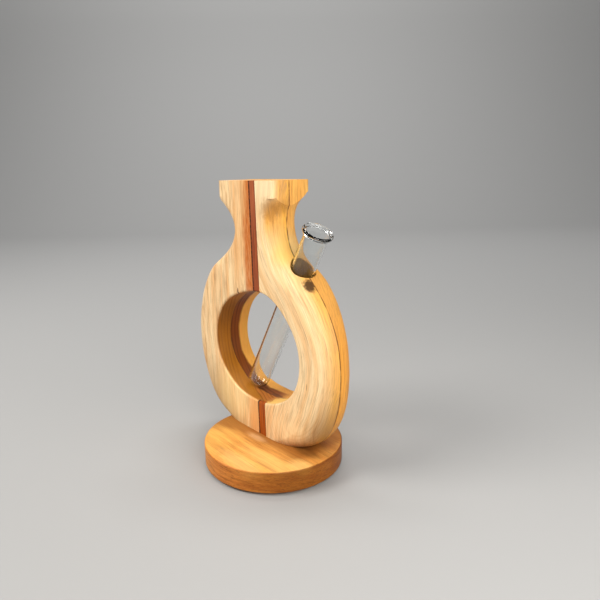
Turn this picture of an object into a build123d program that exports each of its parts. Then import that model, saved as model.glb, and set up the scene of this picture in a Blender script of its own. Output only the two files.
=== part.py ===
from build123d import *
import math
import os

# A wooden bud vase: a flask-shaped body with a large hole through it stands on
# a round base, and a glass test tube stands in a slanting bore in its shoulder.
# Millimetres. The origin is on the table under the middle of the base.
# +X is the side the tube leans to, -Y is the front, +Z is up.

# ---------------------------------------------------------------- dimensions
FELT_D = 100.0          # felt disc under the base
FELT_T = 2.0

DISC_D = 110.0          # round base
DISC_T = 17.0
DISC_EASE_TOP = 0.9     # sanded top edge
DISC_EASE_BOTTOM = 1.2

BODY_X = -17.0          # body axis on the base
BODY_Y = 12.75          # middle of the body's thickness on the base
FRONT_T = 15.5          # front lamination
BACK_T = 19.0           # rear board
ROUND_LEFT = 8.0        # round-over of the left half, front and back
ROUND_HOLE = 1.6        # eased edge of the hole
SPLIT_X = -5.0          # the two kinds of round-over meet here, out of sight

BODY_H = 198.0          # top of the mouth above the base
MOUTH_LEFT = -36.3      # sides of the mouth block
MOUTH_RIGHT = 28.0
MOUTH_FOOT_FRONT = 186.0  # lower corner of the square block, front ...
MOUTH_FOOT_BACK = 189.5   # ... and back

MOUTH_CORNERS = [(MOUTH_RIGHT, -1, 2.5), (MOUTH_RIGHT, 1, 1.5),   # x, front or back,
                 (MOUTH_LEFT, -1, 1.5), (MOUTH_LEFT, 1, 1.5)]    # radius

STRIP_DEEP = 3.0        # the accent strip is let into the front face
STRIP_LEFT_TOP = 1.2    # edges of the accent strip at the mouth ...
STRIP_RIGHT_TOP = 8.6
STRIP_LEFT_FOOT = 4.7   # ... and at the foot
STRIP_RIGHT_FOOT = 13.8

TUBE_D = 18.0           # 18 x 150 glass tube
TUBE_L = 153.0
TUBE_WALL = 1.15
RIM_D = 22.8            # beaded rim
RIM_H = 3.2
TUBE_LEAN = 29.07       # degrees from the vertical, towards +X
TUBE_AXIS_X = -10.5     # a point on the tube's axis, from the body axis ...
TUBE_AXIS_H = 46.06     # ... and above the base
TUBE_GAP = 0.12         # between the tube's end and the floor of the hole
BORE_D = 20.0

SCREW_D = 4.0           # countersunk wood screws
SCREW_HEAD_D = 8.0
SCREW_HEAD_H = 2.4
SCREW_L = 36.0
SCREW_X = (-16.0, 16.0)  # from the body axis, in the middle of the rear board
SCREW_RECESS = 1.0      # heads sit this deep in the underside

# outline of the body before the foot is planed flat and the mouth is cut, x
# from the body axis, height above the base; each half runs up from the foot to
# the flare of the mouth, and they meet on the line x = SPLIT_X
RIGHT = [
    (-5.0, -11.2), (10.0, -10.9), (25.0, -8.6), (38.0, -4.8), (48.0, -0.4),
    (57.0, 5.2), (64.6, 12.0), (70.2, 19.6), (73.9, 27.4), (76.5, 35.4),
    (78.5, 45.0), (79.6, 56.0), (79.8, 66.0), (79.2, 74.0), (78.1, 82.4),
    (76.3, 90.2), (74.0, 96.6), (70.8, 103.6), (66.7, 110.7), (61.3, 118.2),
    (55.5, 124.9), (49.2, 131.2), (42.6, 136.8), (36.4, 141.8), (31.6, 146.6),
    (28.6, 151.4), (26.6, 157.0), (25.4, 162.6), (24.9, 167.6), (25.2, 172.4),
    (26.4, 177.4), (28.7, 182.0), (34.0, 186.8), (45.0, 192.2), (64.0, 198.0),
]
LEFT = [
    (-5.0, -11.2), (-20.0, -9.0), (-34.4, -3.8), (-43.2, 0.2), (-52.0, 4.4),
    (-59.8, 10.4), (-67.3, 19.6), (-73.2, 31.4), (-77.8, 44.6), (-80.1, 56.7),
    (-80.7, 68.6), (-80.0, 80.2), (-77.6, 91.8), (-75.1, 99.9), (-72.0, 107.7),
    (-67.8, 115.4), (-62.5, 123.0), (-56.4, 129.7), (-50.6, 133.9),
    (-44.2, 137.9), (-36.6, 143.0), (-29.0, 149.6), (-24.2, 156.2),
    (-22.5, 161.6), (-23.2, 166.2), (-26.3, 171.2), (-32.4, 177.0),
    (-40.6, 182.8), (-50.4, 188.0), (-62.0, 192.4), (-76.0, 196.5),
]

# the tube's side is sanded by hand: how far the front and the back face stand
# back from the outline, by height above the base
SANDED_H = [-12, -8, -4, 0, 6, 12, 20, 30, 50, 75, 95, 110,
            122, 132, 142, 150, 158, 168, 174, 179, 183, 188, 200]
SANDED_FRONT = [8, 9.5, 11.5, 13, 14.5, 15, 15, 14, 12.5, 12.5, 12.5, 12,
                12, 12, 12.5, 13, 13.4, 13, 11.8, 9.4, 8.2, 9, 11]
SANDED_BACK = [8, 9, 10, 11, 11.5, 12, 12.3, 12.5, 13.5, 14, 12.5, 9,
               6.4, 5.6, 8, 14, 20, 22.5, 21.5, 17, 11, 6.5, 5]
SANDED_STEPS = [11, 20, 33, 54, 90]      # degrees round each sanded edge

# outline of the hole
HOLE = [
    (2.0, 28.4), (17.7, 30.0), (30.4, 34.9), (40.8, 42.2), (47.9, 51.4),
    (51.8, 61.2), (52.9, 71.6), (51.1, 83.4), (45.9, 94.2), (38.0, 103.6),
    (29.2, 111.0), (18.7, 116.2), (7.4, 117.8), (-7.9, 115.4),
    (-21.6, 110.8), (-33.2, 104.4), (-42.6, 95.2), (-48.7, 83.2),
    (-51.5, 70.4), (-50.0, 59.0), (-44.2, 48.2), (-34.8, 39.0),
    (-24.6, 32.8), (-12.6, 29.3),
]

BIG = 400.0
BASE_TOP = FELT_T + DISC_T
BODY_T = FRONT_T + BACK_T
FRONT_Y = BODY_Y - BODY_T / 2
GLUE_Y = FRONT_Y + FRONT_T
BACK_Y = BODY_Y + BODY_T / 2


def prism(edge, y0, y1):
    """A closed outline drawn in x and height, run from y0 to y1."""
    plane = Plane(origin=(BODY_X, y1, BASE_TOP), x_dir=(1, 0, 0), z_dir=(0, -1, 0))
    face = make_face(edge)
    return extrude(plane * face, amount=y1 - y0, dir=(0, -1, 0))


def block(x0, x1, y0, y1, z0, z1):
    b = Box(x1 - x0, y1 - y0, z1 - z0)
    return Pos((x0 + x1) / 2, (y0 + y1) / 2, (z0 + z1) / 2) * b


# ------------------------------------------------------------------ the body
def half(points):
    """Half the outline, closed along x = SPLIT_X, through the whole thickness."""
    end = points[-1]
    close = Polyline(end, (end[0], 215), (SPLIT_X, 215), points[0])
    return prism([Spline(points), close], FRONT_Y, BACK_Y)


def rims(solid):
    """The two long outline edges, front first."""
    found = [e for e in solid.edges()
             if abs(e.bounding_box().size.Y) < 0.01 and e.length > 300]
    return sorted(found, key=lambda e: e.center().Y)


def smooth(table, h):
    """A value between the listed heights, with no corners."""
    i = max(j for j in range(len(SANDED_H) - 1) if SANDED_H[j] <= h or j == 0)
    t = (h - SANDED_H[i]) / (SANDED_H[i + 1] - SANDED_H[i])

    def slope(j):
        j0, j1 = max(j - 1, 0), min(j + 1, len(table) - 1)
        return (table[j1] - table[j0]) / (SANDED_H[j1] - SANDED_H[j0])

    m0, m1 = [slope(j) * (SANDED_H[i + 1] - SANDED_H[i]) for j in (i, i + 1)]
    return (table[i] * (2 * t**3 - 3 * t**2 + 1) + m0 * (t**3 - 2 * t**2 + t)
            + table[i + 1] * (3 * t**2 - 2 * t**3) + m1 * (t**3 - t**2))


def sanded_half(points, samples=46):
    """The tube's half of the body, lofted through upright sections; it runs a
    little way into the other half."""
    bow = Spline(points)
    at = [i / (samples - 1) for i in range(samples)]
    spots = [bow @ t for t in at]
    outward = [Vector((bow % t).Y, -(bow % t).X, 0) for t in at]
    outward[0] = Vector(0, -1, 0)
    inner = SPLIT_X - 5
    first = math.radians(SANDED_STEPS[0])
    sections = []
    for table, y_face, depth, steps in (
            (SANDED_FRONT, FRONT_Y, FRONT_T, SANDED_STEPS),
            (SANDED_BACK, BACK_Y, 2 - BACK_T, SANDED_STEPS[::-1])):
        for step in steps:
            turn = math.radians(step)
            back = (1 - math.sin(turn)) / (1 - math.sin(first))
            y = y_face + depth * (1 - math.cos(turn) / math.cos(first))
            line = [p - n * smooth(table, min(max(p.Y, -12), 199.9)) * back
                    for p, n in zip(spots, outward)]
            end = line[-1]
            close = Polyline(end, (end.X, 215), (inner, 215), (inner, line[0].Y), line[0])
            plane = Plane(origin=(BODY_X, y, BASE_TOP), x_dir=(1, 0, 0), z_dir=(0, -1, 0))
            sections.append(plane * make_face([Spline(line), close]))
    return loft(sections)


left_half = half(LEFT)
left_half = fillet(rims(left_half), ROUND_LEFT)
body = left_half + sanded_half(RIGHT)

# the sides of the mouth, and the square block above the scooped neck
body -= block(BODY_X + MOUTH_RIGHT, BIG, -BIG, BIG, BASE_TOP + 160, BIG)
body -= block(-BIG, BODY_X + MOUTH_LEFT, -BIG, BIG, BASE_TOP + 160, BIG)
block_side = Polyline((FRONT_Y, MOUTH_FOOT_FRONT), (BACK_Y, MOUTH_FOOT_BACK),
                      (BACK_Y, BODY_H + 30), (FRONT_Y, BODY_H + 30), close=True)
side_plane = Plane(origin=(BODY_X + MOUTH_LEFT, 0, BASE_TOP), x_dir=(0, 1, 0), z_dir=(1, 0, 0))
body += extrude(side_plane * make_face(block_side), amount=MOUTH_RIGHT - MOUTH_LEFT, dir=(1, 0, 0))

# its upright corners are eased
for mx, way_y, r in MOUTH_CORNERS:
    way_x = 1 if mx > 0 else -1
    cx, cy = BODY_X + mx - way_x * r, BODY_Y + way_y * (BODY_T / 2 - r)
    square = block(min(cx, cx + way_x * (r + 1)), max(cx, cx + way_x * (r + 1)),
                   min(cy, cy + way_y * (r + 1)), max(cy, cy + way_y * (r + 1)),
                   BASE_TOP + 165, BASE_TOP + 240)
    post = Pos(cx, cy, BASE_TOP + 160) * Cylinder(r, 100, align=(Align.CENTER, Align.CENTER, Align.MIN))
    body -= square - post

# the square top and the flat foot
body -= block(-BIG, BIG, -BIG, BIG, BASE_TOP + BODY_H, BIG)
body -= block(-BIG, BIG, -BIG, BIG, -BIG, BASE_TOP)

# the hole, with its edges eased front and back
hole = prism(Spline(HOLE, periodic=True), FRONT_Y - 5, BACK_Y + 5)
body -= hole
lip = [e for e in body.edges()
       if abs(e.bounding_box().size.Y) < 0.01 and 80 < e.bounding_box().size.X < 120
       and 80 < e.bounding_box().size.Z < 100]
body = fillet(lip, ROUND_HOLE)

# ------------------------------------------------------------- the tube's way
lean = math.radians(TUBE_LEAN)
way = Vector(math.sin(lean), 0, math.cos(lean))
anchor = Vector(BODY_X + TUBE_AXIS_X, BODY_Y, BASE_TOP + TUBE_AXIS_H)


def floor_gap(t):
    """Distance from a point on the tube's axis to the floor of the hole."""
    p = anchor + way * t
    return hole_edge.distance_to(Vertex(p.X - BODY_X, p.Z - BASE_TOP, 0))


hole_edge = Spline(HOLE, periodic=True)
low, high = -20.0, 10.0
for _ in range(60):
    mid = (low + high) / 2
    if floor_gap(mid) < TUBE_D / 2 + TUBE_GAP:
        low = mid
    else:
        high = mid
tube_end = anchor + way * (high - TUBE_D / 2)      # lowest point of the glass
seam = Vector(0, 1, 0).rotate(Axis((0, 0, 0), way), 22.5)
tube_plane = Plane(origin=tube_end, x_dir=seam, z_dir=way)

bore_from = anchor + way * 52.0                    # inside the hole
bore_plane = Plane(origin=bore_from, x_dir=seam, z_dir=way)
bore = bore_plane * Cylinder(BORE_D / 2, 90, align=(Align.CENTER, Align.CENTER, Align.MIN))
body -= bore

# ------------------------------------------------------------ base and screws
disc = Pos(0, 0, FELT_T) * Cylinder(DISC_D / 2, DISC_T,
                                   align=(Align.CENTER, Align.CENTER, Align.MIN))
disc = fillet(disc.edges().filter_by(GeomType.CIRCLE).sort_by(Axis.Z)[-1:], DISC_EASE_TOP)
disc = fillet(disc.edges().filter_by(GeomType.CIRCLE).sort_by(Axis.Z)[:1], DISC_EASE_BOTTOM)

SCREW_Y = (GLUE_Y + BACK_Y) / 2
screw_z = FELT_T + SCREW_RECESS


def screw_profile():
    r, R, h, L = SCREW_D / 2, SCREW_HEAD_D / 2, SCREW_HEAD_H, SCREW_L
    return Polyline((0, 0), (R, 0), (R, 0.35), (r, h), (r, L - 5), (0.4, L), (0, L), close=True)


def screw_at(x):
    s = revolve(Plane.XZ * make_face(screw_profile()), Axis.Z)
    s = Pos(BODY_X + x, SCREW_Y, screw_z) * s
    return s


screws = [screw_at(x) for x in SCREW_X]
for x, s in zip(SCREW_X, screws):
    disc -= s
    body -= s
    disc -= Pos(BODY_X + x, SCREW_Y, FELT_T) * Cylinder(
        SCREW_HEAD_D / 2, SCREW_RECESS, align=(Align.CENTER, Align.CENTER, Align.MIN))


def cross_recess(x):
    arm = Box(4.2, 1.0, 1.4, align=(Align.CENTER, Align.CENTER, Align.MIN))
    return Pos(BODY_X + x, SCREW_Y, screw_z) * (arm + Rot(0, 0, 90) * arm)


screws = [s - cross_recess(x) for x, s in zip(SCREW_X, screws)]

# --------------------------------------------------------- the glued boards
back_board = body & block(-BIG, BIG, GLUE_Y, BIG, -BIG, BIG)
front = body & block(-BIG, BIG, -BIG, GLUE_Y, -BIG, BIG)


def across(top, foot):
    """x of a strip edge at a height, drawn past both ends."""
    slope = (top - foot) / BODY_H
    return lambda h: foot + slope * h


xl = across(STRIP_LEFT_TOP, STRIP_LEFT_FOOT)
xr = across(STRIP_RIGHT_TOP, STRIP_RIGHT_FOOT)
H0, H1 = -20.0, BODY_H + 20
xm = across((STRIP_LEFT_TOP + STRIP_RIGHT_TOP) / 2, (STRIP_LEFT_FOOT + STRIP_RIGHT_FOOT) / 2)
left_zone = prism(Polyline((-150, H0), (xm(H0), H0), (xm(H1), H1), (-150, H1), close=True),
                  FRONT_Y - 5, GLUE_Y)
right_zone = prism(Polyline((xm(H0), H0), (150, H0), (150, H1), (xm(H1), H1), close=True),
                   FRONT_Y - 5, GLUE_Y)
groove = prism(Polyline((xl(H0), H0), (xr(H0), H0), (xr(H1), H1), (xl(H1), H1), close=True),
               FRONT_Y - 5, FRONT_Y + STRIP_DEEP)

left_front = (front & left_zone) - groove
right_front = (front & right_zone) - groove
strips = (front & groove).solids().sort_by(Axis.Z)

# ------------------------------------------------------------------ the tube
R, W = TUBE_D / 2, TUBE_WALL
RR = RIM_D / 2
neck_z = TUBE_L - RIM_H
with BuildSketch(Plane.XZ) as tube_half:
    with BuildLine():
        Line((0, 0), (0, W))
        # inside: round bottom, straight wall, flare under the bead
        RadiusArc((0, W), (R - W, R), -(R - W))
        Line((R - W, R), (R - W, neck_z - 2.0))
        Spline((R - W, neck_z - 2.0), (R - W + 0.25, neck_z + 0.3), (R - 0.15, TUBE_L - 0.9),
               tangents=[(0, 1), (0.55, 0.85)])
        # the rounded bead
        Spline((R - 0.15, TUBE_L - 0.9), (RR - 0.85, TUBE_L), (RR, TUBE_L - RIM_H / 2),
               (RR - 0.7, TUBE_L - RIM_H + 0.35), (R, neck_z - 0.9),
               tangents=[(0.55, 0.85), (0, -1)])
        Line((R, neck_z - 0.9), (R, R))
        RadiusArc((R, R), (0, 0), R)
    make_face()
tube = revolve(tube_half.sketch, Axis.Z)
tube = tube_plane * tube

# ------------------------------------------------------------------ the felt
felt = Cylinder(FELT_D / 2, FELT_T, align=(Align.CENTER, Align.CENTER, Align.MIN))

# -------------------------------------------------------------------- export
os.makedirs("parts", exist_ok=True)
pieces = {
    "left_front_board": left_front,
    "right_front_board": right_front,
    "accent_strip_upper": strips[-1],
    "accent_strip_lower": strips[0],
    "back_board": back_board,
    "base_disc": disc,
    "base_screws": Compound(children=[s.solid() for s in screws]),
    "felt_disc": felt,
    "test_tube": tube,
}
for name, shape in pieces.items():
    export_step(shape, "parts/" + name + ".step")
    print(name, len(shape.solids()), round(shape.volume, 1))
print("tube end", tube_end, "way", way)
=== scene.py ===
import math

import bpy
from mathutils import Matrix, Vector

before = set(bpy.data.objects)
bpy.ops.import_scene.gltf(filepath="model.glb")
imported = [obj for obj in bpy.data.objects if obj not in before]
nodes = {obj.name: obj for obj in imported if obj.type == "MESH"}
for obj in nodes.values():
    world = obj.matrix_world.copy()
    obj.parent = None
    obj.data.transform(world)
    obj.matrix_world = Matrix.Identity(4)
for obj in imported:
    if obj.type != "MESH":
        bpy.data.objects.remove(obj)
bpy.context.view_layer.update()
scene = bpy.context.scene
MM = 0.001

# sizes of the object in millimetres, as in the CAD
BODY_X, BASE_TOP = -17.0, 19.0      # body axis, top of the round base
FRONT_Y, GLUE_Y, BACK_Y = -4.5, 11.0, 30.0
STRIP_LEFT = (4.7, 1.2)             # edges of the strip at the foot and at the mouth
STRIP_RIGHT = (13.8, 8.6)
BODY_H = 198.0
DISC_R = 55.0

# ------------------------------------------------------------------ camera
EYE = Vector((300.71, -243.59, 224.64)) * MM
YAW, TILT, ROLL = math.radians(50.420), math.radians(17.280), math.radians(1.298)
FOCAL_PX, SIDE_PX = 534.4, 600.0

ahead = Vector((-math.sin(YAW) * math.cos(TILT), math.cos(YAW) * math.cos(TILT), -math.sin(TILT)))
level = Vector((math.cos(YAW), math.sin(YAW), 0.0))
below = ahead.cross(level)
right = level * math.cos(ROLL) + below * math.sin(ROLL)
down = below * math.cos(ROLL) - level * math.sin(ROLL)

cam_data = bpy.data.cameras.new("camera")
cam_data.sensor_width = 36.0
cam_data.lens = 36.0 * FOCAL_PX / SIDE_PX
cam_data.shift_x, cam_data.shift_y = 24.3 / SIDE_PX, 35.0 / SIDE_PX
cam_data.clip_start, cam_data.clip_end = 0.01, 60.0
cam = bpy.data.objects.new("camera", cam_data)
scene.collection.objects.link(cam)
turn = Matrix((right, -down, -ahead)).transposed().to_4x4()
cam.matrix_world = Matrix.Translation(EYE) @ turn
scene.camera = cam


# --------------------------------------------------------------- node helpers
def rgb(r, g, b):
    """A screen colour, 0-255, as scene-linear RGBA."""
    lin = [c / 12.92 if c <= 0.04045 else ((c + 0.055) / 1.055) ** 2.4
           for c in (r / 255.0, g / 255.0, b / 255.0)]
    return (*lin, 1.0)


class Net:
    """Short names for the shader nodes of one material."""

    def __init__(self, name):
        self.mat = bpy.data.materials.new(name)
        self.mat.use_nodes = True
        self.tree = self.mat.node_tree
        self.bsdf = next(n for n in self.tree.nodes if n.type == "BSDF_PRINCIPLED")
        self.place = None

    def put(self, socket, value):
        if hasattr(value, "is_output"):
            self.tree.links.new(value, socket)
        else:
            socket.default_value = value

    def node(self, kind, **props):
        n = self.tree.nodes.new(kind)
        for key, value in props.items():
            setattr(n, key, value)
        return n

    def math(self, op, *args):
        n = self.node("ShaderNodeMath", operation=op)
        for socket, value in zip(n.inputs, args):
            self.put(socket, value)
        return n.outputs[0]

    def add(self, a, b):
        return self.math("ADD", a, b)

    def mul(self, a, b):
        return self.math("MULTIPLY", a, b)

    def sum(self, *terms):
        total = terms[0]
        for term in terms[1:]:
            total = self.add(total, term)
        return total

    def xyz(self):
        """Place on the object in millimetres: x from the body axis, y, height
        above the base."""
        if self.place is None:
            n = self.node("ShaderNodeTexCoord")
            s = self.node("ShaderNodeSeparateXYZ")
            self.put(s.inputs[0], n.outputs["Object"])
            x, y, z = [self.mul(o, 1000.0) for o in s.outputs]
            self.place = (self.add(x, -BODY_X), y, self.add(z, -BASE_TOP))
        return self.place

    def vector(self, x, y, z):
        n = self.node("ShaderNodeCombineXYZ")
        for socket, value in zip(n.inputs, (x, y, z)):
            self.put(socket, value)
        return n.outputs[0]

    def noise(self, sx, sy, sz, detail=2.0, rough=0.5, offset=0.0):
        """Noise, 0-1, with features of the given lengths in millimetres."""
        x, y, h = self.xyz()
        v = self.vector(self.add(self.mul(x, 1.0 / sx), offset), self.mul(y, 1.0 / sy),
                        self.mul(h, 1.0 / sz))
        n = self.node("ShaderNodeTexNoise", noise_dimensions="3D")
        self.put(n.inputs["Vector"], v)
        n.inputs["Scale"].default_value = 1.0
        n.inputs["Detail"].default_value = detail
        n.inputs["Roughness"].default_value = rough
        return n.outputs[0]

    def noise_line(self, w, size, detail=2.0, rough=0.5):
        n = self.node("ShaderNodeTexNoise", noise_dimensions="1D")
        self.put(n.inputs["W"], self.mul(w, 1.0 / size))
        n.inputs["Scale"].default_value = 1.0
        n.inputs["Detail"].default_value = detail
        n.inputs["Roughness"].default_value = rough
        return n.outputs[0]

    def step(self, value, a, b, lo=0.0, hi=1.0):
        """lo up to a, hi from b on, smooth in between (a may be above b)."""
        if a > b:
            a, b, lo, hi = b, a, hi, lo
        n = self.node("ShaderNodeMapRange", interpolation_type="SMOOTHSTEP")
        self.put(n.inputs["Value"], value)
        for key, v in (("From Min", a), ("From Max", b), ("To Min", lo), ("To Max", hi)):
            n.inputs[key].default_value = v
        return n.outputs[0]

    def ramp(self, fac, stops, smooth=True):
        n = self.node("ShaderNodeValToRGB")
        n.color_ramp.interpolation = "EASE" if smooth else "LINEAR"
        e = n.color_ramp.elements
        e.remove(e[1])
        e[0].position = stops[0][0]
        for i, (pos, colour) in enumerate(stops):
            item = e[0] if i == 0 else e.new(pos)
            item.color = colour if isinstance(colour, tuple) else (colour, colour, colour, 1)
        self.put(n.inputs[0], fac)
        return n.outputs[0]

    def mix(self, fac, a, b, blend="MIX"):
        n = self.node("ShaderNodeMix", data_type="RGBA", blend_type=blend)
        self.put(n.inputs[0], fac)
        self.put(n.inputs[6], a)
        self.put(n.inputs[7], b)
        return n.outputs[2]

    def curve(self, value, lo, hi, points, low, high):
        """A smooth curve through (position, value) points."""
        unit = self.node("ShaderNodeMapRange")
        self.put(unit.inputs["Value"], value)
        unit.inputs["From Min"].default_value = lo
        unit.inputs["From Max"].default_value = hi
        n = self.node("ShaderNodeFloatCurve")
        self.put(n.inputs["Value"], unit.outputs[0])
        c = n.mapping.curves[0]
        spots = [((at - lo) / (hi - lo), (v - low) / (high - low)) for at, v in points]
        c.points[0].location, c.points[-1].location = spots[0], spots[-1]
        for spot in spots[1:-1]:
            c.points.new(*spot)
        n.mapping.update()
        back = self.node("ShaderNodeMapRange")
        self.put(back.inputs["Value"], n.outputs[0])
        back.inputs["To Min"].default_value = low
        back.inputs["To Max"].default_value = high
        return back.outputs[0]

    def spot(self, cx, cy, ch, rx, ry, rh, soft=0.5, ragged=0.0, size=2.0):
        """1 inside an ellipsoid, 0 outside, with a soft and ragged border."""
        x, y, h = self.xyz()
        q = [self.math("POWER", self.math("ABSOLUTE", self.mul(self.add(v, -c), 1.0 / r)), 2.0)
             for v, c, r in ((x, cx, rx), (y, cy, ry), (h, ch, rh))]
        far = self.math("SQRT", self.sum(*q))
        if ragged:
            n = self.noise(size, size, size, 3.0, 0.6, offset=cx)
            far = self.add(far, self.mul(self.add(n, -0.5), 2.0 * ragged))
        return self.step(far, 1.0 - soft, 1.0 + soft, 1.0, 0.0)

    def bump(self, height, strength, distance):
        n = self.node("ShaderNodeBump")
        n.inputs["Strength"].default_value = strength
        n.inputs["Distance"].default_value = distance
        self.put(n.inputs["Height"], height)
        return n.outputs[0]


def across(edge, net):
    """Distance right of a strip edge given by its x at the foot and at the mouth."""
    x, y, h = net.xyz()
    return net.add(x, net.add(net.mul(h, (edge[0] - edge[1]) / BODY_H), -edge[0]))


def wood(net, rings, cross, along, spacing, light, dark, lines=0.5, band=None, bands=0.5,
         grey=rgb(176, 136, 96), greys=0.5, fibre=0.11, wobble=6.0, smoke=0.0, rough=(0.44, 0.60), bump=0.3):
    """Growth rings, broad bands, thin streaks, fibres and pores.

    rings   socket, millimetres through the growth rings
    cross   socket, millimetres across the grain on the surface
    along   socket, millimetres along the grain
    """
    def grain(width, length, detail=2.0, rough=0.5, offset=0.0):
        x, y, h = net.xyz()
        v = net.vector(net.add(net.mul(cross, 1.0 / width), offset), net.mul(along, 1.0 / length),
                       net.mul(y, 0.35 / width))
        n = net.node("ShaderNodeTexNoise", noise_dimensions="3D")
        net.put(n.inputs["Vector"], v)
        n.inputs["Scale"].default_value = 1.0
        n.inputs["Detail"].default_value = detail
        n.inputs["Roughness"].default_value = rough
        return n.outputs[0]

    warp = grain(22.0, 85.0, 1.0, 0.5, 3.0)
    d = net.add(rings, net.mul(net.add(warp, -0.5), wobble))
    d = net.add(d, net.mul(net.add(net.noise_line(d, 7.0), -0.5), 3.5))
    ring = net.math("FRACT", net.mul(d, 1.0 / spacing))
    late = net.ramp(ring, [(0.0, 0.25), (0.10, 0.05), (0.40, 0.10), (0.80, 0.80), (0.92, 1.0), (1.0, 0.25)])
    age = net.noise_line(d, 2.7 * spacing, 2.0, 0.6)
    late = net.mul(late, net.ramp(age, [(0.34, 0.08), (0.64, 1.0)]))
    late = net.mul(late, net.ramp(grain(9.0, 60.0, 2.0, 0.5, 17.0), [(0.30, 0.35), (0.60, 1.0)]))
    colour = net.mix(net.mul(late, lines), light, dark)
    if band is not None:
        broad = net.step(grain(8.0, 140.0, 3.0, 0.55, 23.0), 0.40, 0.62)
        colour = net.mix(net.mul(broad, bands), colour, band)
    thread = net.step(grain(1.5, 34.0, 2.0, 0.55, 61.0), 0.53, 0.70)
    patch = net.step(grain(13.0, 46.0, 2.0, 0.5, 71.0), 0.40, 0.62, 0.12, 1.0)
    thread = net.mul(thread, patch)
    colour = net.mix(net.mul(thread, greys), colour, grey)
    if smoke:
        haze = net.step(grain(5.0, 26.0, 4.0, 0.62, 83.0), 0.50, 0.72)
        colour = net.mix(net.mul(haze, smoke), colour, grey)
    hair = grain(0.62, 15.0, 3.0, 0.62, 31.0)
    tone = net.ramp(hair, [(0.25, 1.0 - 2.0 * fibre), (0.5, 1.0), (0.78, 1.0 + 0.8 * fibre)], False)
    colour = net.mix(1.0, colour, tone, "MULTIPLY")
    pores = net.step(grain(0.34, 2.6, 1.0, 0.5, 47.0), 0.68, 0.76)
    colour = net.mix(net.mul(pores, 0.42), colour, dark)
    net.put(net.bsdf.inputs["Roughness"],
            net.ramp(net.add(net.mul(hair, 0.6), net.mul(late, 0.4)), [(0.2, rough[0]), (0.8, rough[1])]))
    height = net.sum(net.mul(hair, 0.6), net.mul(late, 0.35), net.mul(pores, -0.6))
    net.put(net.bsdf.inputs["Normal"], net.bump(height, bump, 0.00012))
    net.bsdf.inputs["Specular IOR Level"].default_value = 0.2
    return colour, late, hair


def finish_wood(net, colour, node):
    net.put(net.bsdf.inputs["Base Color"], colour)
    nodes[node].data.materials.clear()
    nodes[node].data.materials.append(net.mat)


def glue_line(net, colour, width=0.22, dark=rgb(84, 44, 18), amount=0.85):
    """The thin dark joint between the front boards and the rear board."""
    x, y, h = net.xyz()
    off = net.math("ABSOLUTE", net.add(y, -GLUE_Y))
    wander = net.mul(net.noise(3.0, 60.0, 3.0, 2.0, 0.5, offset=5.0), 0.55)
    line = net.step(net.add(off, net.mul(wander, -0.4)), width, width + 0.30, 1.0, 0.0)
    broken = net.ramp(net.noise(9.0, 60.0, 9.0, 3.0, 0.6, offset=8.0), [(0.34, 0.35), (0.58, 1.0)])
    return net.mix(net.mul(net.mul(line, broken), amount), colour, dark)


def in_hole(net):
    """1 on the walls of the hole, 0 on the outside of the body."""
    x, y, h = net.xyz()
    e = net.add(net.math("POWER", net.math("ABSOLUTE", net.mul(x, 1 / 52.0)), 2.0),
                net.math("POWER", net.math("ABSOLUTE", net.mul(net.add(h, -73.0), 1 / 45.0)), 2.0))
    return net.step(e, 1.35, 1.12)


CREAM = rgb(243, 211, 162)
CREAM_DARK = rgb(204, 150, 96)
GOLD = rgb(236, 173, 73)
GOLD_DARK = rgb(186, 114, 42)
HEART = rgb(124, 58, 8)
HEART_DARK = rgb(84, 36, 4)

# ------------------------------------------------------------ left front board
net = Net("left_front_wood")
x, y, h = net.xyz()
rings = net.sum(net.mul(x, 0.30), net.mul(y, 0.80), net.mul(h, 0.010))
cross = net.sum(x, net.mul(y, 0.7), net.mul(net.add(net.noise(40.0, 40.0, 70.0, 1.0), -0.5), 10.0))
deep = net.step(y, -3.5, 8.0)
light = net.mix(deep, CREAM, GOLD)
dark = net.mix(deep, CREAM_DARK, GOLD_DARK)
colour, late, hair = wood(net, rings, cross, h, 2.6, light, dark, lines=0.40, band=rgb(226, 164, 98),
                          bands=0.6, grey=rgb(170, 116, 70), greys=0.6, fibre=0.2, smoke=0.45)
streak = net.spot(-7.5, -4.0, 184.0, 1.5, 8.0, 26.0, 0.6, 0.35, 3.0)
colour = net.mix(net.mul(streak, 0.5), colour, rgb(158, 108, 66))
# painted shade: the wood is darker and greyer low on the outside, towards the underside
painted_low_shade = net.mul(net.step(h, 70.0, 8.0), net.step(net.add(x, net.mul(h, 0.75)), -8.0, -28.0))
colour = net.mix(net.mul(painted_low_shade, 0.66), colour, rgb(166, 128, 84))
# painted light: a paler patch low on the left of the front
pale = net.spot(-27.0, -4.5, 26.0, 22.0, 8.0, 24.0, 0.6, 0.2, 8.0)
colour = net.mix(net.mul(pale, 0.5), colour, net.mix(hair, rgb(252, 206, 128), rgb(255, 228, 164)))
# heartwood beside the strip, above the hole
off = across(STRIP_LEFT, net)
wide = net.step(h, 188.0, 155.0, 0.0, 4.0)
edge = net.sum(off, wide, net.mul(net.add(net.noise(2.0, 4.0, 18.0, 3.0, 0.55, offset=2.0), -0.5), 8.0))
warm = net.mul(net.step(edge, -24.0, -5.0), net.step(h, 112.0, 146.0))
colour = net.mix(net.mul(warm, 0.5), colour, net.mix(hair, rgb(204, 124, 54), rgb(240, 174, 94)))
band = net.mul(net.step(edge, -7.5, -1.5), net.step(h, 100.0, 124.0))
mottle = net.ramp(net.noise(1.6, 4.0, 7.0, 3.0, 0.6, offset=21.0), [(0.34, 0.72), (0.6, 1.0)])
colour = net.mix(net.mul(net.mul(band, mottle), 0.95), colour, net.mix(hair, rgb(144, 66, 18), rgb(222, 124, 48)))
band = net.mul(net.step(edge, -14.0, -3.0), net.step(h, 45.0, 28.0))
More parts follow.
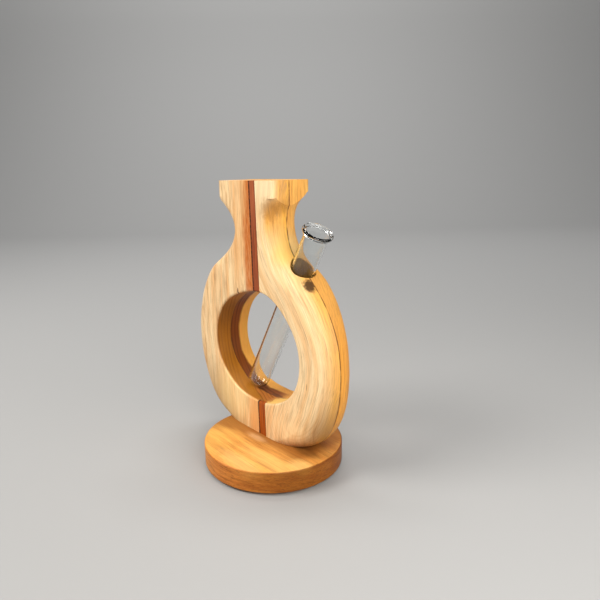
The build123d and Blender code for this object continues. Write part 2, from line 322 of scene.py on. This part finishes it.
colour = net.mix(net.mul(band, 0.55), colour, rgb(226, 146, 62))
# painted shade: the walls of the hole are darker; heartwood on its floor behind the strip
inside = net.mul(in_hole(net), net.step(y, -4.3, -2.4))
colour = net.mix(net.mul(inside, 0.92), colour, net.mix(late, rgb(168, 102, 6), rgb(116, 62, 4)))
# painted shade: darker still on the upper left of the hole wall
upper = net.mul(net.mul(inside, net.step(h, 58.0, 88.0)), net.step(x, -30.0, -44.0))
colour = net.mix(net.mul(upper, 0.4), colour, rgb(92, 50, 8))
reach = net.sum(y, net.mul(x, 0.306), -2.8,
                net.mul(net.add(net.noise(3.0, 3.0, 12.0, 2.0, 0.5, offset=6.0), -0.5), 2.5))
floor_heart = net.mul(net.mul(inside, net.step(reach, -1.4, 1.2)), net.step(h, 66.0, 52.0))
colour = net.mix(net.mul(floor_heart, 0.9), colour, net.mix(late, rgb(182, 108, 42), rgb(130, 72, 22)))
crack = net.spot(-16.9, -4.0, 114.4, 0.75, 2.0, 3.0, 0.3, 0.3, 1.0)
colour = net.mix(net.mul(crack, 0.95), colour, rgb(84, 46, 22))
colour = glue_line(net, colour)
finish_wood(net, colour, "left_front_board")

# ----------------------------------------------------------- right front board
net = Net("right_front_wood")
x, y, h = net.xyz()
# the middle of the wood between strip, hole and outline, by height
middle = net.curve(h, -10.0, 200.0, [(-10, 46), (15, 49), (40, 57), (66, 63), (85, 60),
                                     (105, 50), (125, 36), (145, 23), (165, 17), (200, 18)], 0.0, 100.0)
side = net.math("POWER", net.math("ABSOLUTE", net.mul(net.add(x, net.mul(middle, -1.0)), 1.0 / 10.0)), 2.0)
under = net.math("POWER", net.mul(net.math("MAXIMUM", net.add(net.mul(h, -1.0), 40.0), 0.0), 1.0 / 14.0), 2.0)
rings = net.sum(y, net.mul(side, 1.5), net.mul(under, 1.6))
cross = net.sum(x, net.mul(middle, -1.0), net.mul(y, 0.7),
                net.mul(net.add(net.noise(40.0, 40.0, 70.0, 1.0), -0.5), 8.0))
turned = net.add(y, net.mul(net.add(net.noise(12.0, 12.0, 60.0, 2.0, 0.5, offset=9.0), -0.5), 3.0))
low = net.step(turned, -2.5, 9.0)
high = net.step(y, -4.4, -1.5)
is_high = net.step(h, 150.0, 172.0)
deep = net.add(net.mul(low, net.add(net.mul(is_high, -1.0), 1.0)), net.mul(high, is_high))
light = net.mix(deep, CREAM, GOLD)
dark = net.mix(deep, CREAM_DARK, GOLD_DARK)
colour, late, hair = wood(net, rings, cross, h, 2.6, light, dark, lines=0.48, band=rgb(228, 170, 104),
                          bands=0.5, grey=rgb(176, 132, 90), greys=0.6, fibre=0.18, wobble=1.6, smoke=0.36)
pale = net.mul(net.step(h, 172.0, 192.0), net.step(y, 3.0, -4.6))
colour = net.mix(net.mul(pale, 0.5), colour, rgb(252, 230, 186))
# painted shade: the foot is darker
painted_low_shade = net.mul(net.step(net.add(h, net.mul(x, -0.36)), 24.0, -16.0), net.step(x, 50.0, 73.0, 0.15, 1.0))
colour = net.mix(net.mul(painted_low_shade, 0.6), colour, rgb(150, 106, 58))
# painted light: a paler patch low on the right of the front
pale = net.spot(44.0, -4.5, 14.0, 18.0, 8.0, 10.0, 0.6, 0.2, 6.0)
colour = net.mix(net.mul(pale, 0.4), colour, net.mix(hair, rgb(246, 206, 146), rgb(255, 230, 184)))
# painted shade on the rounded side low down
turned_low = net.mul(net.step(h, 78.0, 24.0), net.step(y, -4.5, 2.0))
colour = net.mix(net.mul(turned_low, 0.42), colour, rgb(140, 98, 54))
# painted shadow in the scoop under the mouth
scoop_shadow = net.spot(21.0, -1.5, 178.0, 6.2, 6.0, 8.0, 0.5, 0.45, 2.0)
colour = net.mix(net.mul(scoop_shadow, 0.52), colour, net.mix(hair, rgb(110, 60, 12), rgb(196, 128, 46)))
# painted shadow under the lip of the mouth
under_lip = net.spot(27.0, 7.0, 180.0, 6.0, 8.0, 5.0, 0.6, 0.25, 2.0)
colour = net.mix(net.mul(under_lip, 0.42), colour, rgb(140, 86, 30))
# painted light: paler wood on the neck beside the tube
by_tube = net.spot(29.0, 9.0, 150.0, 8.0, 12.0, 13.0, 0.6, 0.2, 4.0)
colour = net.mix(net.mul(by_tube, 0.7), colour, net.mix(hair, rgb(242, 184, 84), rgb(255, 212, 122)))
knot = net.spot(52.4, 7.4, 127.6, 4.6, 4.2, 5.8, 0.4, 0.6, 2.2)
colour = net.mix(net.mul(knot, 0.95), colour, net.mix(hair, rgb(44, 26, 12), rgb(84, 54, 28)))
check = net.spot(61.5, -4.5, 57.3, 0.35, 1.2, 2.6, 0.4, 0.2, 1.0)
colour = net.mix(net.mul(check, 0.7), colour, rgb(120, 76, 40))
inside = net.mul(in_hole(net), net.step(y, -4.2, -2.2))
# painted light: the lower part of the hole is paler
colour = net.mix(net.mul(net.mul(inside, net.step(h, 60.0, 40.0)), 0.85), colour,
                 net.mix(late, rgb(255, 204, 106), rgb(214, 140, 58)))
ragged = net.add(x, net.mul(net.add(net.noise(4.0, 2.2, 6.0, 3.0, 0.6, offset=17.0), -0.5), 14.0))
colour = net.mix(net.mul(net.mul(inside, net.step(ragged, 16.5, 11.0)), 0.9), colour,
                 net.mix(late, rgb(182, 108, 42), rgb(130, 72, 22)))
colour = glue_line(net, colour)
finish_wood(net, colour, "right_front_board")

# ------------------------------------------------------------------ back board
net = Net("back_wood")
x, y, h = net.xyz()
rings = net.sum(y, net.mul(x, 0.16), net.mul(h, -0.015))
cross = net.sum(net.mul(x, 0.5), y, net.mul(net.add(net.noise(40.0, 40.0, 70.0, 1.0), -0.5), 6.0))
light = net.mix(net.step(h, 138.0, 168.0), rgb(228, 158, 64), rgb(235, 177, 90))
colour, late, hair = wood(net, rings, cross, h, 3.0, light, rgb(176, 108, 40), lines=0.5,
                          band=rgb(212, 144, 66), bands=0.55, grey=rgb(170, 110, 52), greys=0.6, fibre=0.18, smoke=0.25)
# painted shade: darker towards the bottom
painted_low_shade = net.step(h, 52.0, -6.0)
colour = net.mix(net.mul(painted_low_shade, 0.5), colour, rgb(150, 94, 40))
# painted shade: darker at the shoulder
shoulder = net.mul(net.step(x, 24.0, 52.0), net.step(h, 80.0, 116.0))
colour = net.mix(net.mul(shoulder, 0.4), colour, net.mix(hair, rgb(184, 136, 70), rgb(214, 168, 100)))
# painted light: paler beside the tube
by_tube = net.spot(29.0, 9.0, 150.0, 8.0, 14.0, 13.0, 0.6, 0.2, 4.0)
colour = net.mix(net.mul(by_tube, 0.75), colour, net.mix(hair, rgb(244, 196, 116), rgb(255, 224, 158)))
heart_edge = net.add(y, net.mul(net.add(net.noise(14.0, 20.0, 40.0, 3.0, 0.5, offset=4.0), -0.5), 6.0))
# painted light: the rear part of the hole's left wall is brighter
bright = net.mul(net.mul(in_hole(net), net.step(heart_edge, 18.5, 21.0)), net.step(x, 10.0, -10.0))
colour = net.mix(net.mul(bright, 0.85), colour, net.mix(hair, rgb(226, 148, 56), rgb(250, 192, 92)))
seen = net.add(net.mul(in_hole(net), 0.7), net.step(h, 140.0, 100.0, 0.0, 0.3))
heart = net.mul(net.mul(net.step(heart_edge, 21.0, 18.5), net.step(x, 22.0, 4.0)), seen)
colour = net.mix(net.mul(heart, 0.95), colour, net.mix(late, HEART, HEART_DARK))
torn = net.spot(7.0, 13.4, 28.4, 6.0, 2.4, 3.0, 0.2, 0.5, 3.0)
colour = net.mix(net.mul(torn, 0.7), colour, rgb(92, 52, 26))
colour = glue_line(net, colour)
finish_wood(net, colour, "back_board")

# -------------------------------------------------------------- accent strips
for node, tone, tone_dark in (("accent_strip_upper", rgb(164, 82, 44), rgb(108, 48, 26)),
                              ("accent_strip_lower", rgb(180, 88, 20), rgb(120, 50, 10))):
    net = Net(node + "_wood")
    x, y, h = net.xyz()
    rings = net.sum(net.mul(x, 0.9), net.mul(y, 0.5))
    cross = net.add(x, net.mul(y, 0.7))
    colour, late, hair = wood(net, rings, cross, h, 1.9, tone, tone_dark, lines=0.6, band=tone_dark,
                              bands=0.45, grey=rgb(190, 106, 58), greys=0.5, fibre=0.28)
    colour = net.mix(net.step(h, 150.0, 192.0, 0.0, 0.4), colour, net.mix(hair, rgb(150, 78, 46), rgb(204, 122, 80)))
    off_l = across(STRIP_LEFT, net)
    off_r = across(STRIP_RIGHT, net)
    dots = net.ramp(net.noise(1.4, 6.0, 1.6, 2.0, 0.6, offset=14.0), [(0.36, 0.45), (0.55, 1.0)])
    line = net.mul(net.step(off_l, 1.0, 1.8, 1.0, 0.0), dots)
    colour = net.mix(net.mul(line, 0.95), colour, rgb(38, 20, 12))
    line = net.mul(net.step(off_r, -0.8, -0.3, 0.0, 1.0), 0.65)
    colour = net.mix(line, colour, rgb(78, 38, 20))
    finish_wood(net, colour, node)

# ------------------------------------------------------------------ round base
net = Net("base_wood")
x, y, h = net.xyz()
rings = net.sum(net.mul(y, 0.22), net.mul(h, 0.95), net.mul(x, 0.015))
disc_x = net.add(x, BODY_X)
far = net.math("SQRT", net.add(net.math("POWER", net.math("ABSOLUTE", disc_x), 2.0),
                               net.math("POWER", net.math("ABSOLUTE", y), 2.0)))
edge = net.step(far, 53.6, 54.6)
cross = net.sum(net.mul(y, net.add(net.mul(edge, -0.8), 1.0)), net.mul(h, net.add(edge, 0.8)),
                net.mul(net.add(net.noise(70.0, 40.0, 40.0, 1.0), -0.5), 10.0))
colour, late, hair = wood(net, rings, cross, x, 4.2, rgb(228, 164, 82), rgb(146, 84, 32), lines=0.5,
                          band=rgb(190, 118, 50), bands=0.6, grey=rgb(140, 82, 32), greys=0.65, fibre=0.22, smoke=0.34)
# painted highlight: a pale patch on the front of the top
pale = net.spot(44.0, -27.0, 0.0, 26.0, 7.5, 6.0, 0.6, 0.4, 9.0)
colour = net.mix(net.mul(pale, 0.32), colour, rgb(246, 202, 126))
sunny = net.step(net.add(disc_x, net.mul(y, 0.4)), -16.0, -48.0)
colour = net.mix(net.mul(sunny, 0.34), colour, rgb(240, 190, 96))
# painted shade on the top close to the body's foot
near = net.sum(y, net.mul(net.math("MAXIMUM", net.mul(x, -1.0), 0.0), 0.4),
               net.mul(net.add(net.noise(30.0, 5.0, 8.0, 2.0, 0.5, offset=5.0), -0.5), 14.0))
near = net.mul(net.step(near, -24.0, -5.0), net.step(x, 66.0, 54.0))
colour = net.mix(net.mul(near, 0.8), colour, net.mix(hair, rgb(112, 64, 22), rgb(160, 98, 40)))
# painted highlight at the front left of the top
pale = net.spot(33.0, -44.0, 0.0, 22.0, 6.5, 6.0, 0.6, 0.4, 9.0)
colour = net.mix(net.mul(pale, 0.4), colour, rgb(250, 208, 132))
# painted highlight near the front right edge of the top
pale = net.spot(67.0, -15.0, 0.0, 11.0, 7.0, 6.0, 0.6, 0.4, 5.0)
colour = net.mix(net.mul(pale, 0.4), colour, rgb(250, 208, 132))
shade = net.step(net.add(disc_x, net.mul(y, 0.6)), 18.0, 52.0)
colour = net.mix(net.mul(shade, 0.1), colour, rgb(148, 84, 14))
# painted shadow where the body meets the base
close = net.spot(53.0, 3.0, 0.0, 13.0, 5.0, 6.0, 0.5, 0.2, 4.0)
colour = net.mix(net.mul(close, 0.6), colour, rgb(84, 46, 12))
# the rim is darker end grain; its darkening towards the right is painted shade
rim = net.step(far, 53.9, 54.9)
right_side = net.step(net.add(disc_x, net.mul(y, 0.5)), -34.0, 44.0)
tone = net.mix(right_side, (0.9, 0.66, 0.46, 1), (0.43, 0.29, 0.115, 1))
colour = net.mix(rim, colour, net.mix(1.0, colour, tone, "MULTIPLY"))
dash = net.step(net.noise(5.0, 5.0, 0.7, 2.0, 0.6, offset=33.0), 0.56, 0.68)
colour = net.mix(net.mul(net.mul(rim, dash), 0.45), colour, rgb(84, 46, 18))
# a smear of dried glue by the foot of the strip
smear = net.spot(9.5, -11.0, 0.0, 9.0, 3.0, 4.0, 0.7, 0.5, 4.0)
colour = net.mix(net.mul(smear, 0.4), colour, rgb(232, 190, 140))
finish_wood(net, colour, "base_disc")

# ------------------------------------------------------- felt, screws and glass
net = Net("felt")
fuzz = net.noise(0.35, 0.35, 0.35, 3.0, 0.7)
net.put(net.bsdf.inputs["Base Color"], net.ramp(fuzz, [(0.3, rgb(28, 26, 25)), (0.7, rgb(58, 54, 50))]))
net.bsdf.inputs["Roughness"].default_value = 0.95
net.bsdf.inputs["Sheen Weight"].default_value = 0.3
net.put(net.bsdf.inputs["Normal"], net.bump(fuzz, 0.6, 0.0003))
finish_wood(net, net.bsdf.inputs["Base Color"].links[0].from_socket, "felt_disc")

net = Net("screw_steel")
brushed = net.noise(0.15, 0.15, 2.5, 2.0, 0.6)
net.put(net.bsdf.inputs["Base Color"], net.ramp(brushed, [(0.3, rgb(150, 148, 142)), (0.7, rgb(190, 188, 182))]))
net.bsdf.inputs["Metallic"].default_value = 1.0
net.put(net.bsdf.inputs["Roughness"], net.ramp(brushed, [(0.3, 0.28), (0.7, 0.42)]))
finish_wood(net, net.bsdf.inputs["Base Color"].links[0].from_socket, "base_screws")

net = Net("tube_glass")
haze = net.noise(6.0, 6.0, 12.0, 2.0, 0.5)
net.put(net.bsdf.inputs["Base Color"], net.ramp(haze, [(0.3, rgb(248, 250, 249)), (0.7, rgb(252, 253, 252))]))
net.put(net.bsdf.inputs["Roughness"], net.ramp(haze, [(0.35, 0.03), (0.7, 0.06)]))
net.bsdf.inputs["IOR"].default_value = 1.47
net.bsdf.inputs["Transmission Weight"].default_value = 1.0
finish_wood(net, net.bsdf.inputs["Base Color"].links[0].from_socket, "test_tube")

# ------------------------------------------------------------ floor and light
# a plain paper sweep: flat under the object, curving up well behind it
back = Vector((ahead.x, ahead.y, 0.0)).normalized()
profile = [(-4.0, 0.0), (1.6, 0.0)]
profile += [(1.6 + 0.9 * math.sin(math.radians(a)), 0.9 - 0.9 * math.cos(math.radians(a)))
            for a in range(6, 91, 6)]
profile += [(2.5, 4.0)]
verts, faces = [], []
for along, up in profile:
    for out in (-6.0, 6.0):
        p = back * along + level * out
        verts.append((p.x, p.y, up))
for i in range(len(profile) - 1):
    faces.append((2 * i, 2 * i + 1, 2 * i + 3, 2 * i + 2))
mesh = bpy.data.meshes.new("floor")
mesh.from_pydata(verts, [], faces)
for poly in mesh.polygons:
    poly.use_smooth = True
floor = bpy.data.objects.new("floor", mesh)
scene.collection.objects.link(floor)
paper = bpy.data.materials.new("floor_paper")
paper.use_nodes = True
pb = next(n for n in paper.node_tree.nodes if n.type == "BSDF_PRINCIPLED")
pb.inputs["Base Color"].default_value = (0.34, 0.338, 0.333, 1)
pb.inputs["Roughness"].default_value = 0.7
mesh.materials.append(paper)

world = bpy.data.worlds.new("studio")
world.use_nodes = True
world.node_tree.nodes["Background"].inputs[0].default_value = (0.95, 0.95, 0.96, 1)
world.node_tree.nodes["Background"].inputs[1].default_value = 0.15
scene.world = world


def softbox(name, place, aim, size, power, colour=(1, 1, 1)):
    d = bpy.data.lights.new(name, "AREA")
    d.shape = "RECTANGLE"
    d.size, d.size_y = size
    d.energy = power
    d.color = colour
    o = bpy.data.objects.new(name, d)
    scene.collection.objects.link(o)
    o.location = place
    o.rotation_mode = "QUATERNION"
    o.rotation_quaternion = (Vector(aim) - Vector(place)).to_track_quat("-Z", "Y")
    o.visible_camera = False
    return o


softbox("key", (-0.40, -0.80, 0.95), (0, 0, 0.14), (0.6, 0.6), 14.0, (1.0, 0.97, 0.93))
softbox("fill", (0.46, -0.16, 0.42), (0, 0, 0.15), (0.4, 0.4), 2.9, (1.0, 0.97, 0.93))
softbox("side", (0.52, 0.16, 0.28), (0, 0, 0.19), (0.3, 0.3), 1.1, (1.0, 0.97, 0.93))
wall = back * 2.3
softbox("backdrop", back * 0.7 + Vector((0, 0, 2.2)), wall + Vector((0, 0, 0.5)), (2.0, 0.6), 55.0)

scene.view_settings.view_transform = "Standard"
scene.view_settings.look = "None"
scene.view_settings.exposure = 0.0
scene.view_settings.gamma = 1.0
